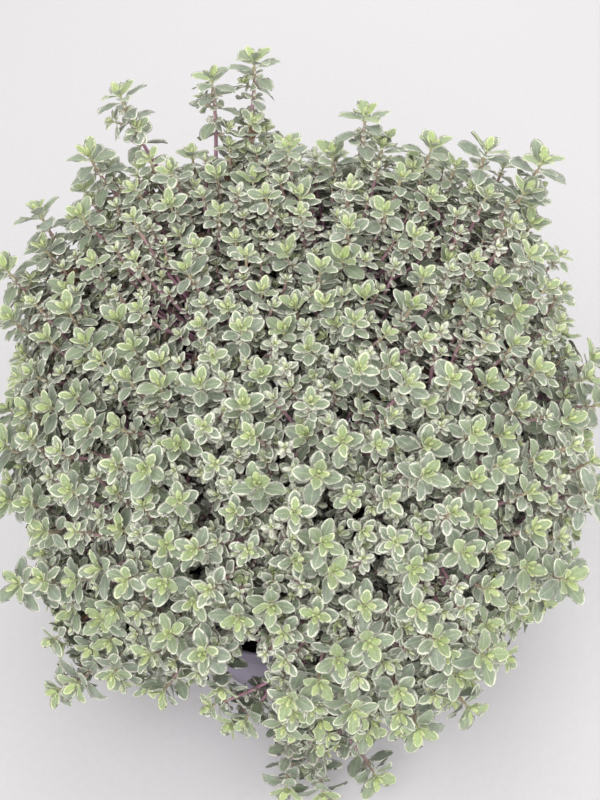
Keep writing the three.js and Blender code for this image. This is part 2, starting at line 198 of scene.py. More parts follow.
def make_pot():
    body_top = POT_HEIGHT - COLLAR_HEIGHT
    top_radius = COLLAR_RADIUS + COLLAR_DRAFT
    profile = rounded([
        (0, FOOT_HEIGHT), (BASE_RADIUS - FOOT_WIDTH - 1, FOOT_HEIGHT), (BASE_RADIUS - FOOT_WIDTH, 0),
        (BASE_RADIUS, 0),
        (NECK_RADIUS, body_top), (COLLAR_RADIUS, body_top), (top_radius, POT_HEIGHT),
        (top_radius - WALL, POT_HEIGHT), (COLLAR_RADIUS - WALL, body_top + WALL),
        (NECK_RADIUS - WALL, body_top), (BASE_RADIUS - WALL, POT_FLOOR), (0, POT_FLOOR),
    ], EDGE_ROUNDING)
    turned = bmesh.new()
    bridge(turned, [ring(turned, *point, POT_SIDES) for point in profile], POT_SIDES)
    pot = as_object("nursery_pot", turned, polypropylene())
    drills = bmesh.new()
    for k in range(DRAIN_COUNT):
        angle = 2 * math.pi * k / DRAIN_COUNT
        made = bmesh.ops.create_cone(drills, cap_ends=True, segments=32, radius1=DRAIN_RADIUS * MM,
                                     radius2=DRAIN_RADIUS * MM, depth=DRILL_DEPTH * MM)
        bmesh.ops.translate(drills, verts=made["verts"], vec=(
            DRAIN_RING * math.cos(angle) * MM, DRAIN_RING * math.sin(angle) * MM, 0))
    cutter = as_object("drain_drills", drills, pot.data.materials[0])
    cut = pot.modifiers.new("drain_holes", "BOOLEAN")
    cut.object = cutter
    cut.solver = "EXACT"
    evaluated = pot.evaluated_get(bpy.context.evaluated_depsgraph_get())
    pot.data = bpy.data.meshes.new_from_object(evaluated)
    pot.modifiers.clear()
    bpy.data.objects.remove(cutter)
    pot.data.shade_smooth()
    pot.data.set_sharp_from_angle(angle=math.radians(POT_SHARP))
    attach(pot, "root")
    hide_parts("pot")


make_pot()


# ---- The potting mix ----
# Damp peat-based mix with bark crumbs and a little perlite, tipped in and settled. It lies
# against the wall, a finger's width below the rim, and is a little higher in the middle.
MIX_TOP = 97
MIX_CROWN = 4
MIX_RADIUS = 58.6
MIX_RINGS = 46
MIX_SIDES = 150
MIX_SIDE = ((57.9, 90), (46.6, 6), (44, 2.8), (0, 2.8))  # radius and height, down to the bottom
WAVE_COUNT = 14
WAVE_HEIGHT = 1.4
WALL_SETTLING = 1.5  # the mix lies this much lower at the wall
GRIT_HEIGHT = 0.35
MIX_SHARP = 50  # degrees
CRUMB_COUNT = 1300
PERLITE_SHARE = 0.05
PERLITE_SIZES = (0.7, 1.6)
BARK_SIZES = (0.6, 2.6)
BARK_FLATNESS = (1.0, 0.6, 0.45)
CRUMB_ROUGHNESS = 0.22
MIX_SEED = 5


def potting_mix_material(name, dark, mid, light, grit_mm):
    """Damp potting mix: crumbly, with paler fibres and no shine, and nearly black brown unless
    it is the white grains in it."""
    material = new_material(name)
    node = partial(add, material)
    place = node("TexCoord", output="Object")
    crumbs = node("TexNoise", {"Vector": place, "Scale": 1 / (grit_mm * MM), "Detail": 6.0,
                               "Roughness": 0.7})
    fibres = node("TexNoise", {"Vector": place, "Scale": 1 / (0.7 * MM), "Detail": 3.0,
                               "Distortion": 2.5})
    colour = node("ValToRGB", [crumbs], stops=[(0.3, dark), (0.52, mid), (0.72, light)])
    rough = node("MapRange", [fibres, 0.0, 1.0, 0.8, 1.0])
    relief = node("Math", [crumbs, fibres], operation="ADD")
    finish_surface(material, (relief, 0.8, 0.6), {"Base Color": colour, "Roughness": rough})
    return material


def make_mix():
    rng = np.random.default_rng(MIX_SEED)
    waves = [(rng.uniform(0.08, 0.5, 2), rng.uniform(0, 6.3), rng.uniform(0.2, 0.6))
             for _ in range(WAVE_COUNT)]

    def surface(x, y):
        out = np.hypot(x, y) / MIX_RADIUS
        rough = sum(size * np.sin(way[0] * x + way[1] * y * (-1) ** i + start) / (1 + 4 * way.sum())
                    for i, (way, start, size) in enumerate(waves))
        return MIX_TOP + MIX_CROWN * (1 - out ** 2) + WAVE_HEIGHT * rough - WALL_SETTLING * out ** 8

    body = bmesh.new()
    rings = [[body.verts.new((0, 0, surface(0, 0) * MM))]]
    for i in range(1, MIX_RINGS + 1):
        radius = MIX_RADIUS * i / MIX_RINGS
        rings.append([])
        for k in range(MIX_SIDES):
            angle = 2 * math.pi * k / MIX_SIDES
            x, y = radius * math.cos(angle), radius * math.sin(angle)
            bump = rng.normal(0, GRIT_HEIGHT) if i < MIX_RINGS else 0
            rings[-1].append(body.verts.new((x * MM, y * MM, (surface(x, y) + bump) * MM)))
    rings += [ring(body, radius, height, MIX_SIDES) for radius, height in MIX_SIDE]
    bridge(body, rings, MIX_SIDES)
    damp = potting_mix_material("damp_peat_mix", "#15100d", "#2a1f19", "#4a382c", 2.2)
    mix_body = as_object("potting_mix_body", body, damp, MIX_SHARP)

    crumbs = {"bark_crumbs": bmesh.new(), "perlite_grains": bmesh.new()}
    for i in range(CRUMB_COUNT):
        white = rng.random() < PERLITE_SHARE
        size = rng.uniform(*(PERLITE_SIZES if white else BARK_SIZES))
        out, angle = (MIX_RADIUS - 3) * math.sqrt(rng.random()), rng.uniform(0, 2 * math.pi)
        x, y = out * math.cos(angle), out * math.sin(angle)
        mesh = crumbs["perlite_grains" if white else "bark_crumbs"]
        made = bmesh.ops.create_icosphere(mesh, subdivisions=1, radius=1)
        stretch = rng.uniform(0.5, 1.0, 3) * (1 if white else BARK_FLATNESS) * size * MM
        turn = rng.uniform(0, 2 * math.pi)
        for vert in made["verts"]:
            p = np.array(vert.co) * stretch * (1 + rng.uniform(-CRUMB_ROUGHNESS, CRUMB_ROUGHNESS))
            vert.co = (x * MM + p[0] * math.cos(turn) - p[1] * math.sin(turn),
                       y * MM + p[0] * math.sin(turn) + p[1] * math.cos(turn),
                       (surface(x, y) + 0.25 * size) * MM + p[2])
    bark = potting_mix_material("bark_crumb", "#1e140e", "#3d2a1e", "#6b4d38", 1.1)
    perlite = potting_mix_material("expanded_perlite", "#b9b2a4", "#d9d4c9", "#efece4", 0.6)
    pieces = [mix_body, as_object("bark_crumbs", crumbs["bark_crumbs"], bark),
              as_object("perlite_grains", crumbs["perlite_grains"], perlite)]
    for piece in pieces:
        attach(piece, "root")
        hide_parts("potting_mix")


make_mix()


# ---- Where the bush grows ----
# One plant of several dozen woody stems, rooted in the mix. They fan out from a point above the
# pot, lean over the rim and end at the face of a broad mound, and some sprigs stand clear of it.
# No piece is made here: this is the growing rule that the stems and the leaves both follow.
FOCUS = np.array([10.0, 28.0, 112.0])
MOUND_RADIUS = 148
MOUND_RISE = 128
MOUND_SQUARENESS = 2.6
MOUND_BACK_LEAN = 0.16
STEM_COUNT = 32
STEM_LOWEST_LEAN = 100
TUFT_COUNT = 110
TUFT_LOWEST_LEAN = 113
TUFT_SPACING = 26
REACH_SCATTER = 0.07
STEM_TURN = 0.3
TUFT_TURN = 0.8
SEED = 11
OUTLYING_TUFTS = [  # azimuth and lean in degrees, reach from the focus in millimetres
    (100, 35, 207), (110, 35, 202), (128, 39, 208), (139, 41, 191), (73, 33, 185),  # tall, at the back
    (55, 35, 180), (45, 39, 188), (36, 43, 196), (152, 46, 185), (163, 50, 179),
    (-170, 63, 150), (-162, 69, 147), (-150, 78, 148),  # left
    (32, 52, 159), (21, 57, 151), (11, 65, 158), (-3, 60, 156), (-24, 60, 157),  # right
    (-37, 67, 150), (-55, 73, 139), (-57, 91, 139), (-67, 93, 135),  # front right
    (-73, 122, 156), (-85, 123, 160), (-93, 123, 157),  # trailing, at the front
    (-80, 78, 132), (-92, 76, 127), (-108, 88, 115), (-139, 100, 156),  # front left
]
CUSHION_POINTS = 24  # of each solid's cushion of old leaves, with three draws for every two
CUSHION_RIM = 0.8  # of the mound's reach
POT_CLEARANCE = 4
CROWN_RADIUS = 39
CROWN_OFFSET = (2, 5)
HOLE_DEPTH = 20
HOLE_GAP = 0.6
STEM_RISE = 3
ELBOW_SHARE = 0.4
ELBOW_LIFT = 8
RIM_PASS_HEIGHT = 124
RIM_PASS_MARGIN = 20
STEM_BENDS = 3
ARCH_POINTS = 60
STEM_POINTS = 41
SHOOT_SPREAD = 0.5
SIZE_SCATTER = 0.2
GOLDEN_ANGLE = math.pi * (3 - math.sqrt(5))
FIRST_SIDE = np.array([1, 0.01, 0])


def seeded_random(seed):
    """Numbers from 0 to 1, the same ones each time for the same seed."""
    state = seed
    while True:
        state = (state + 0x6D2B79F5) & 0xFFFFFFFF
        t = ((state ^ (state >> 15)) * (state | 1)) & 0xFFFFFFFF
        t ^= (t + ((t ^ (t >> 7)) * (t | 61) & 0xFFFFFFFF)) & 0xFFFFFFFF
        yield ((t ^ (t >> 14)) & 0xFFFFFFFF) / 4294967296


def unit(vector):
    return vector / np.linalg.norm(vector)


def direction(azimuth, lean):
    return np.array([math.sin(lean) * math.cos(azimuth), math.sin(lean) * math.sin(azimuth),
                     math.cos(lean)])


def mound_reach(heading):
    """From the focus to the face of the mound, a squarish dome that leans back."""
    across = math.hypot(heading[0], heading[1]) / MOUND_RADIUS
    along = abs(heading[2]) / MOUND_RISE
    reach = (across ** MOUND_SQUARENESS + along ** MOUND_SQUARENESS) ** (-1 / MOUND_SQUARENESS)
    return reach * (1 + MOUND_BACK_LEAN * heading[1])


def even_direction(i, count, lowest_lean, turn):
    """Direction i of count, spread evenly from upright down to the lowest lean."""
    lowest = math.cos(math.radians(lowest_lean))
    return i * GOLDEN_ANGLE + turn, math.acos(1 - (i + 0.5) / count * (1 - lowest))


def make_tuft(azimuth, lean, reach, kind):
    heading = direction(azimuth, lean)
    return {"heading": heading, "axis": direction(azimuth, lean / 2), "lean": lean, "kind": kind,
            "place": FOCUS + heading * reach}


def place_tufts():
    random = seeded_random(SEED)
    tufts = [make_tuft(math.radians(azimuth), math.radians(lean), reach, "outlying")
             for azimuth, lean, reach in OUTLYING_TUFTS]
    for i in range(TUFT_COUNT):
        azimuth, lean = even_direction(i, TUFT_COUNT, TUFT_LOWEST_LEAN, TUFT_TURN)
        reach = mound_reach(direction(azimuth, lean)) * (1 - REACH_SCATTER * next(random))
        tuft = make_tuft(azimuth, lean, reach, "main")
        if all(np.linalg.norm(other["place"] - tuft["place"]) > TUFT_SPACING for other in tufts):
            tufts.append(tuft)
    return tufts


def clear_of_pot(point):
    return (point[2] > POT_HEIGHT + POT_CLEARANCE
            or math.hypot(point[0], point[1]) > COLLAR_RADIUS + COLLAR_DRAFT + POT_CLEARANCE)


def mound_point(heading, share):
    """A point at a share of the mound's reach, or further out where the pot is."""
    reach = share * mound_reach(heading)
    while not clear_of_pot(FOCUS + heading * reach):
        reach += 1
    return FOCUS + heading * reach


def arch(points, count):
    """Points along the smooth line through three points."""
    a, b, c = points
    line = [2 * a - b, a, b, c, 2 * c - b]
    done = []
    for p0, p1, p2, p3 in (line[0:4], line[1:5]):
        d0, d1, d2 = (math.sqrt(np.linalg.norm(q - p)) for p, q in ((p0, p1), (p1, p2), (p2, p3)))
        t1 = ((p1 - p0) / d0 - (p2 - p0) / (d0 + d1) + (p2 - p1) / d1) * d1
        t2 = ((p2 - p1) / d1 - (p3 - p1) / (d1 + d2) + (p3 - p2) / d2) * d1
        for t in np.linspace(0, 1, count // 2, endpoint=False):
            done.append((2 * t ** 3 - 3 * t ** 2 + 1) * p1 + (t ** 3 - 2 * t ** 2 + t) * t1
                        + (3 * t ** 2 - 2 * t ** 3) * p2 + (t ** 3 - t ** 2) * t2)
    return np.array(done + [c])


def even_points(line, count):
    """The same line as evenly spaced points."""
    along = np.concatenate([[0], np.cumsum(np.linalg.norm(np.diff(line, axis=0), axis=1))])
    at = np.linspace(0, along[-1], count)
    return np.stack([np.interp(at, along, line[:, i]) for i in range(3)], axis=1)


def plan_sprays():
    sprays = []
    for i in range(STEM_COUNT):
        azimuth, lean = even_direction(i, STEM_COUNT, STEM_LOWEST_LEAN, STEM_TURN)
        out = CROWN_RADIUS * math.sqrt((i + 0.5) / STEM_COUNT)
        hole = np.array([out * math.cos(azimuth), out * math.sin(azimuth)]) + CROWN_OFFSET
        sprays.append({"hole": hole, "heading": direction(azimuth, lean), "tufts": []})
    headings = np.array([spray["heading"] for spray in sprays])
    for tuft in place_tufts():
        sprays[int(np.argmax(headings @ tuft["heading"]))]["tufts"].append(tuft)
    for spray in sprays:
        spray["tufts"].sort(key=lambda tuft: -spray["heading"] @ tuft["heading"])
        foot = np.array([*spray["hole"], MIX_TOP - HOLE_DEPTH + HOLE_GAP])
        collar = np.array([*spray["hole"], MIX_TOP + MIX_CROWN + STEM_RISE])
        end = mound_point(spray["heading"], CUSHION_RIM)
        elbow = collar * (1 - ELBOW_SHARE) + end * ELBOW_SHARE
        elbow[2] += ELBOW_LIFT
        if end[2] < RIM_PASS_HEIGHT + RIM_PASS_MARGIN:
            elbow[2] = max(elbow[2], RIM_PASS_HEIGHT)
        spray["foot"] = foot
        spray["stem"] = even_points(arch((collar, elbow, end), ARCH_POINTS), STEM_POINTS)
    return sprays


def frame_across(forward, last_side):
    """Two directions across a line, the first as near as can be to the last one."""
    side = unit(last_side - forward * (forward @ last_side))
    return side, np.cross(forward, side)


def turn_tufts(sprays):
    """Draws each tuft's turn and size as its solid does, and carries its lead along its stem."""
    random = seeded_random(SEED + 1)
    for spray in sprays:
        for _ in range(CUSHION_POINTS * 3 // 2):
            next(random)
        for i, tuft in enumerate(spray["tufts"]):
            turn, size = 2 * math.pi * next(random), 1 + SIZE_SCATTER * (next(random) - 0.5)
            spread = unit(spray["heading"] + (tuft["heading"] - spray["heading"]) * SHOOT_SPREAD)
            line = ([spray["foot"], *even_points(spray["stem"], STEM_BENDS + 1)] if i == 0
                    else [mound_point(spread, CUSHION_RIM)]) + [tuft["place"]]
            side = FIRST_SIDE
            for k in range(len(line) - 1):
                side, _ = frame_across(unit(line[k + 1] - line[max(k - 1, 0)]), side)
            side, _ = frame_across(unit(line[-1] - line[-2]), side)
            side, across = frame_across(tuft["axis"], side)
            tuft["size"] = size
            tuft["lead"] = side * math.cos(turn) + across * math.sin(turn)


# The same plant has far more tips than the bold ones above: smaller ones set a little deeper,
# and under those the older ones that close the mound.
FILL_LAYERS = [  # kind, how many directions, lowest lean, reach as shares, spacing in mm, size
    ("outer", 2600, 114, (0.9, 0.985), 13.8, (0.62, 1.12)),
    ("middle", 1900, 113, (0.79, 0.88), 10.6, (0.45, 0.78)),
    ("inner", 1800, 112, (0.62, 0.77), 10.8, (0.6, 0.92)),
    ("core", 700, 108, (0.4, 0.57), 12.5, (0.85, 1.1)),
    ("small", 5000, 112, (0.8, 0.94), 9.0, (0.4, 0.62)),
]
LOWEST_SHOOT = 16  # mm above the table
LOW_LEAN = math.radians(60)
LOW_GROWTH = 0.3  # shoots low on the mound have larger leaves, by up to this share
BACK_GROWTH = 0.22  # and so have those at the back
FILL_TURN = 0.5
FILL_SCATTER = 0.04  # radians
AXIS_LEAN = 0.42  # how far a shoot leans, as a share of the lean to its place
SHOOT_TILT = 0.13
PARTING_FOOT = np.array([-17.0, -68.0, 82.0])  # a gap at the front left where the pot shows
PARTING_HEADING = np.array([0.059, -0.339, 0.939])
PARTING_RADIUS = 15
LIFT_AZIMUTH = math.radians(-121)  # the mound ends higher at the front left
LIFT_WIDTH = 0.5  # radians
LIFT = math.radians(19)
FULLNESS = 0.95  # how far the mound rises towards a sprig that stands clear, as a share
FULLNESS_BELOW_TALL = 0.55
FULLNESS_OF_TRAILING = 0.25
TALL_REACH = 200
TRAILING_LEAN = 110
BULGE_SPREAD = 0.23  # radians


def filled_reach(heading):
    """The mound's reach, drawn out towards each sprig that stands clear of it."""
    most = 0
    for azimuth, lean, reach in OUTLYING_TUFTS:
        other = direction(math.radians(azimuth), math.radians(lean))
        apart = math.acos(min(1, heading @ other))
        share = FULLNESS_BELOW_TALL if reach > TALL_REACH else FULLNESS
        share = FULLNESS_OF_TRAILING if lean > TRAILING_LEAN else share
        bulge = share * (reach - mound_reach(other)) * math.exp(-(apart / BULGE_SPREAD) ** 2)
        most = max(most, bulge)
    return mound_reach(heading) + most


def fill_between(sprays):
    """Sets the lesser shoots wherever there is room for them, layer by layer."""
    rng = np.random.default_rng(SEED)
    headings = np.array([spray["heading"] for spray in sprays])
    places = [tuft["place"] for spray in sprays for tuft in spray["tufts"]]
    for kind, count, lowest, shares, spacing, sizes in FILL_LAYERS:
        for i in range(count):
            azimuth, lean = even_direction(i, count, lowest, FILL_TURN)
            azimuth += rng.normal(0, FILL_SCATTER)
            lean = max(0.01, lean + rng.normal(0, FILL_SCATTER))
            from_lift = math.remainder(azimuth - LIFT_AZIMUTH, 2 * math.pi) / LIFT_WIDTH
            if lean > math.radians(lowest) - LIFT * math.exp(-from_lift ** 2):
                continue
            heading = direction(azimuth, lean)
            share = rng.uniform(*shares)
            size, turn = rng.uniform(*sizes), rng.uniform(0, 2 * math.pi)
            place = FOCUS + heading * share * filled_reach(heading)
            near = np.linalg.norm(np.array(places) - place, axis=1)
            from_parting = np.linalg.norm(np.cross(place - PARTING_FOOT, PARTING_HEADING))
            if (near.min() < spacing or from_parting < PARTING_RADIUS or place[2] < LOWEST_SHOOT
                    or not clear_of_pot(place)):
                continue
            places.append(place)
            axis = unit(direction(azimuth, lean * AXIS_LEAN) + rng.normal(0, SHOOT_TILT, 3))
            size *= 1 + LOW_GROWTH * min(1, max(0, (lean - LOW_LEAN) / LOW_LEAN))
            size *= 1 + BACK_GROWTH * max(0, heading[1])
            tuft = {"heading": heading, "axis": axis, "lean": lean, "kind": kind, "place": place,
                    "size": size}
            side, across = frame_across(tuft["axis"], FIRST_SIDE)
            tuft["lead"] = side * math.cos(turn) + across * math.sin(turn)
            sprays[int(np.argmax(headings @ heading))]["tufts"].append(tuft)


sprays = plan_sprays()
turn_tufts(sprays)
fill_between(sprays)


# ---- Shoots ----
# A shoot leaves its main stem, bends upwards and ends in a bud. Its leaves stand in crossing
# pairs, crowded at the tip into a rosette, with new little rosettes in the axils lower down.
# No piece is made here either: the shoots are listed for the stems and the leaves.
PAIRS = [  # mm below the bud, reach of the leaf from the stem, degrees above level, age from 0 to 1
    (0.2, 3.4, 76, 0.0), (0.7, 6.0, 65, 0.06), (1.6, 8.6, 53, 0.16), (2.8, 10.3, 41, 0.28),
    (4.8, 11.3, 28, 0.4), (9.3, 11.2, 21, 0.5), (14.8, 10.8, 16, 0.58), (21.0, 10.4, 11, 0.66),
    (27.5, 9.9, 5, 0.74), (34.5, 9.4, 0, 0.82), (42.0, 9.0, -6, 0.9), (50.0, 8.6, -11, 0.96),
    (58.0, 8.2, -16, 1.0), (66.0, 8.0, -20, 1.0),
]
CROWN_PAIRS = 5  # of them make the rosette
HABITS = {  # pairs of leaves, share of axils with a cluster and with a side shoot, added age
    "outlying": (14, 1.0, 0.28, 0.0), "main": (11, 0.85, 0.24, 0.0), "outer": (10, 0.75, 0.14, 0.0),
    "middle": (9, 0.65, 0.05, 0.08), "inner": (8, 0.4, 0.0, 0.25), "core": (8, 0.1, 0.0, 0.5),
    "small": (8, 0.3, 0.0, 0.1), "side": (6, 0.0, 0.0, 0.0),
}
INNER_KINDS = ("middle", "inner", "core", "small")
BUD_HEIGHT = 2.5  # of the bud above the place of the tuft
FORK_SPREAD = 75  # degrees off the main stem at which a shoot would leave it at its foot
LOWEST_FORK, HIGHEST_FORK, RIM_FORK = 0.4, 0.95, 0.93  # as shares of the main stem
LINE_STEP = 4
SPRIG_LEAVES = 1.25  # leaves of the sprigs that stand clear, to those of the rest
LOW_OPENING = 15  # degrees that the leaves of the lowest shoots lie flatter than at the top
BACK_OPENING = 22  # and those at the back
SPRIG_OPENING = 5  # and those of the sprigs that stand clear
LIGHTWARD = np.array([0, -0.3, 1])
TIP_TURN = np.array([0, -0.18, 0.34])
STEM_FOOT_RADIUS = 1.35
STEM_TAPER = 0.45
SHOOT_RADIUS = 0.78
SHOOT_SWELL = 1.25  # at its foot
TIP_RADIUS = 0.42
RISE_SCATTER = 7  # degrees
TURN_SCATTER = 0.11  # radians
ROLL_SCATTER = 0.16
LEAF_LENGTHS = (0.92, 1.08)
LEAF_WIDTHS = (0.6, 0.73)  # as shares of the length
DRY_FROM = 0.72  # the age at which some leaves are dry
DRY_AGE = 1.3  # marks a dry leaf for its skin
LOW_PAIRS = 8  # below these, a leaf is missing now and then
LOST_SHARE = 0.25
CLUSTER_PAIRS = ((5.2, 32), (3.6, 58))  # reach and degrees above level
SIDE_SHOOT_LENGTHS = (5, 10)
LEAF_SEED = 23


def bezier(points, count):
    t = np.linspace(0, 1, 3 * count)[:, None]
    a, b, c, d = points
    curve = (1 - t) ** 3 * a + 3 * t * (1 - t) ** 2 * b + 3 * t ** 2 * (1 - t) * c + t ** 3 * d
    return even_points(curve, count)


def shoot_line(spray, tuft, ends_stem):
    """From the main stem to the bud, arriving along the tuft's own axis."""
    stem = spray["stem"]
    apart = math.degrees(math.acos(min(1, spray["heading"] @ tuft["heading"])))
    share = 1 if ends_stem else min(HIGHEST_FORK, max(LOWEST_FORK, 1.0 - apart / FORK_SPREAD))
    if tuft["place"][2] < RIM_PASS_HEIGHT:
        share = max(share, RIM_FORK)
    k = round(share * (len(stem) - 1))
    along = unit(stem[k] - stem[k - 1])
    bud = tuft["place"] + tuft["axis"] * BUD_HEIGHT
    straight = bud - stem[k]
    length = np.linalg.norm(straight)
    out = unit(along * 0.45 + straight / length * 0.55)
    curve = (stem[k], stem[k] + out * 0.35 * length, bud - tuft["axis"] * min(0.42 * length, 34), bud)
    return bezier(curve, max(8, int(length / LINE_STEP)))


def carried_down(line, lead):
    """The direction of the first pair, carried down from the bud without a twist."""
    forward = np.gradient(line, axis=0)
    forward /= np.linalg.norm(forward, axis=1)[:, None]
    sides = np.zeros_like(line)
    side = lead
    for i in range(len(line) - 1, -1, -1):
        side, _ = frame_across(forward[i], side)
        sides[i] = side
    return forward, sides


def turned_about(vector, axis, angle):
    return (vector * math.cos(angle) + np.cross(axis, vector) * math.sin(angle)
            + axis * (axis @ vector) * (1 - math.cos(angle)))


class Growth:
    """The stems and leaves of one spray, as lists of numbers that the meshes are made from."""

    def __init__(self, rng):
        self.rng = rng
        self.leaves = {"leaves": [], "inner_leaves": []}  # what shows, and what lies behind it
        self.part = "leaves"
        self.stems = []
        self.tone = 0.5  # of the shoot: from greyed to fresh green
        self.open = 0  # degrees that its leaves lie flatter

    def leaf(self, root, out, forward, reach, rise, age, stem_radius):
        """Adds a leaf as place, heading, upward side, length, width, bend, fold, age and tone."""
        rng = self.rng
        rise = math.radians(rise - self.open + rng.normal(0, RISE_SCATTER))
        out = turned_about(out, forward, rng.normal(0, TURN_SCATTER))
        heading = out * math.cos(rise) + forward * math.sin(rise)
        up = forward * math.cos(rise) - out * math.sin(rise)
        up = turned_about(up, heading, rng.normal(0, ROLL_SCATTER))
        if up @ LIGHTWARD < 0:  # its stalk twists, so that its upper face meets the light
            up = -up
        dry = age > DRY_FROM and rng.random() < 0.5 * (age - 0.6)
        length = (reach - stem_radius) * rng.uniform(*LEAF_LENGTHS)
        bend = rng.normal(0.1 + 0.5 * age, 0.16) + (rng.uniform(0.3, 1.2) if dry else 0)
        fold = rng.uniform(0.08, 0.25) * (1.6 - age) + (rng.uniform(0.3, 0.8) if dry else 0)
        width = rng.uniform(*LEAF_WIDTHS)
        tone = 0.55 * self.tone + 0.45 * rng.random()
        self.leaves[self.part].append((*(root + out * 0.7 * stem_radius), *heading, *up, length,
                                       width, bend, fold, DRY_AGE if dry else age, tone))

    def shoot(self, line, lead, size, kind, radius, depth=0.0):
        """Adds a shoot with its pairs of leaves and what starts in their axils."""
        rng = self.rng
        pairs, clusters, side_shoots, older = HABITS[kind]
        depth += older
        self.tone = rng.random()
        forward, sides = carried_down(line, lead)
        below = np.linalg.norm(np.diff(line, axis=0), axis=1)[::-1].cumsum()[::-1]
        below = np.append(below, 0)
        radii = np.interp(below, [0, 9, 60], [TIP_RADIUS * size, radius, radius * SHOOT_SWELL])
        self.stems.append((line, radii, below + 60 * depth))
        stretch = size * rng.uniform(0.9, 1.12)
        for j, (down, reach, rise, age) in enumerate(PAIRS[:pairs]):
            down *= stretch
            if down > below[0] - 1:
                break
            i = np.interp(down, below[::-1], np.arange(len(line))[::-1])
            k, part = int(i), i - int(i)
            k2 = min(k + 1, len(line) - 1)
            root = line[k] * (1 - part) + line[k2] * part
            along, side = forward[k], sides[k]
            stem_radius = float(np.interp(i, range(len(line)), radii))
            turn = (j % 2) * math.pi / 2 + (rng.normal(0, 0.12) if j >= CROWN_PAIRS else 0)
            for half in (0, math.pi):
                out = turned_about(side, along, turn + half)
                if j > LOW_PAIRS and rng.random() < LOST_SHARE:
                    continue
                length = reach * size * (SPRIG_LEAVES if kind == "outlying" else 1)
                self.leaf(root, out, along, length, rise, min(1, age + depth), stem_radius)
                if j < CROWN_PAIRS:
                    continue
                draw = rng.random()
                if j > CROWN_PAIRS and draw < side_shoots:
                    self.side_shoot(root, out, along, size, stem_radius, depth)
                elif draw < clusters:
                    self.cluster(root, out, along, size * rng.uniform(0.7, 1.2), age * 0.5 + depth)

    def cluster(self, root, out, along, size, age):
        """Two small pairs of leaves that start in an axil."""
        axis = unit(out * 0.8 + along * 0.7)
        side, across = frame_across(axis, along)
        start = root + out * 1.1 * size + along * 0.7 * size
        for way, (reach, rise) in zip((across, side), CLUSTER_PAIRS):
            for sign in (1, -1):
                self.leaf(start, way * sign, axis, reach * size, rise, min(1, 0.15 + age), 0.3)

    def side_shoot(self, root, out, along, size, stem_radius, depth):
        """A short shoot of its own that starts in an axil."""
        rng = self.rng
        length = rng.uniform(*SIDE_SHOOT_LENGTHS) * size
        axis = unit(out * 0.55 + along * 0.8 + np.array([0, 0, 0.2]))
        tip = root + unit(out + axis) * length
        line = bezier((root, root + out * 0.4 * length, tip - axis * 0.35 * length, tip), 8)
        side, across = frame_across(axis, along)
        turn = rng.uniform(0, 2 * math.pi)
        self.shoot(line, side * math.cos(turn) + across * math.sin(turn),
                   size * rng.uniform(0.55, 0.75), "side", 0.75 * stem_radius, depth)


def grow(spray, rng):
    """Grows a spray. The tips of its shoots turn up towards the light."""
    growth = Growth(rng)
    stem = np.vstack([spray["foot"], spray["stem"]])
    below = np.linalg.norm(np.diff(stem, axis=0), axis=1)[::-1].cumsum()[::-1]
    along = np.linspace(0, 1, len(stem))
    growth.stems.append((stem, STEM_FOOT_RADIUS - STEM_TAPER * along, np.append(below, 0) * 0.8 + 60))
    for i, tuft in enumerate(spray["tufts"]):
        tuft["axis"] = unit(tuft["axis"] + TIP_TURN)
        line = shoot_line(spray, tuft, i == 0)
        growth.open = LOW_OPENING * min(1, max(0, (tuft["lean"] - math.radians(30)) / LOW_LEAN))
        growth.open += BACK_OPENING * max(0, tuft["heading"][1])
        growth.open += SPRIG_OPENING if tuft["kind"] == "outlying" else 0
        growth.part = "inner_leaves" if tuft["kind"] in INNER_KINDS else "leaves"
        growth.shoot(line, tuft["lead"], tuft["size"], tuft["kind"], SHOOT_RADIUS)
    return growth


# ---- Stems ----
# Thin woody stems: green-pink at the tip, pink-purple and faintly downy while young, and brown
# and finely ribbed with bark low down. Each main stem grows out of a hole in the mix.
STEM_SIDES = 6
FIRST_CORNER = np.array([1, 0.013, 0.11])  # which way the first corner of a stem points


def closed_mesh(name, vertices, corners, counts, attributes):
    """A mesh from arrays: vertices in millimetres, faces as corner numbers and their counts."""
    mesh = bpy.data.meshes.new(name)
    mesh.vertices.add(len(vertices))
    mesh.vertices.foreach_set("co", (vertices * MM).astype(np.float32).ravel())
    mesh.loops.add(len(corners))
    mesh.loops.foreach_set("vertex_index", corners.astype(np.int32))
    mesh.polygons.add(len(counts))
    starts = np.concatenate([[0], np.cumsum(counts)[:-1]])
    mesh.polygons.foreach_set("loop_start", starts.astype(np.int32))
    mesh.polygons.foreach_set("use_smooth", np.ones(len(counts), bool))
    for key, values in attributes.items():
        layer = mesh.attributes.new(key, "FLOAT_VECTOR", "POINT")
        layer.data.foreach_set("vector", values.astype(np.float32).ravel())
    mesh.update(calc_edges=True)
    mesh.validate()
    return mesh


